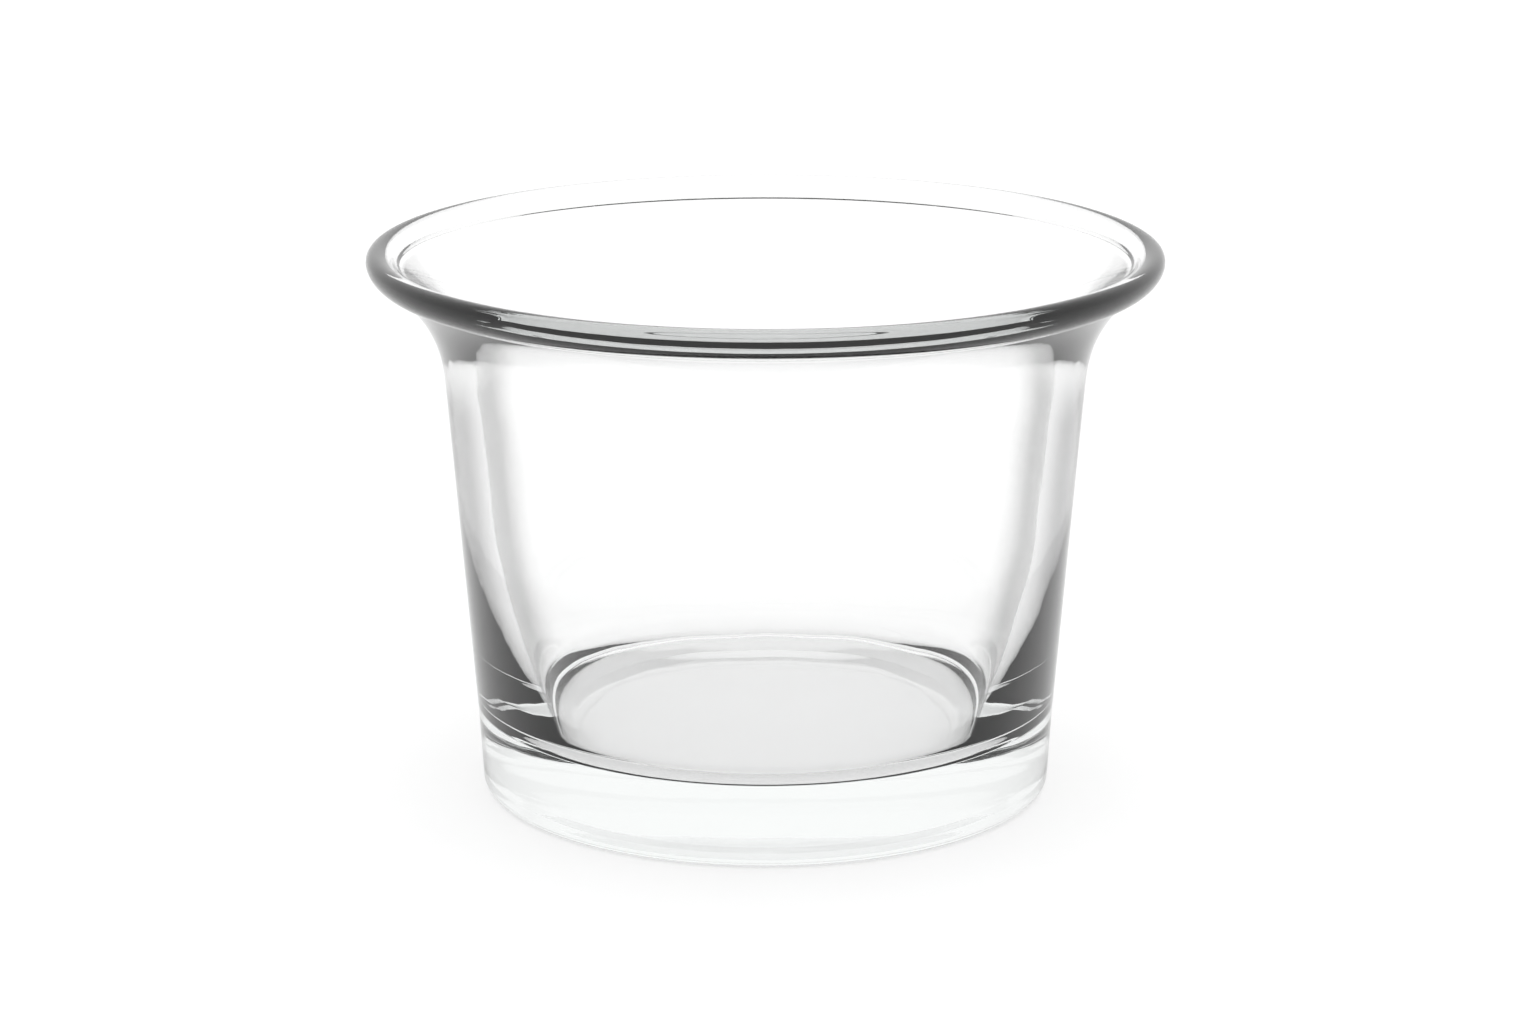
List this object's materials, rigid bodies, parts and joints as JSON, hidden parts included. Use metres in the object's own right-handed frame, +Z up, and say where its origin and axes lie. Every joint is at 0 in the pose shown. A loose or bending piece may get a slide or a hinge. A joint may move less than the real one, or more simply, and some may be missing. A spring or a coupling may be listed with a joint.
{
  "type": "mixing glass",
  "caption": "Small clear pressed-glass mixing bowl: squat tapered cup with a heavy flat base, thick wall and a flared rim with a rounded bead.",
  "frame": {"origin": "centre of the foot, on the surface that the glass stands on", "axes": "+Z up along the glass's axis of turning, out of the mouth; +X and +Y are any two square directions across the round mouth"},
  "size_m": [0.086, 0.086, 0.06],
  "materials": {
    "clear_glass": "fire-polished clear soda-lime glass, colourless, with the faint waviness of pressed ware"
  },
  "bodies": {
    "root": {"glass_body": "clear_glass"}
  },
  "joints": []
}
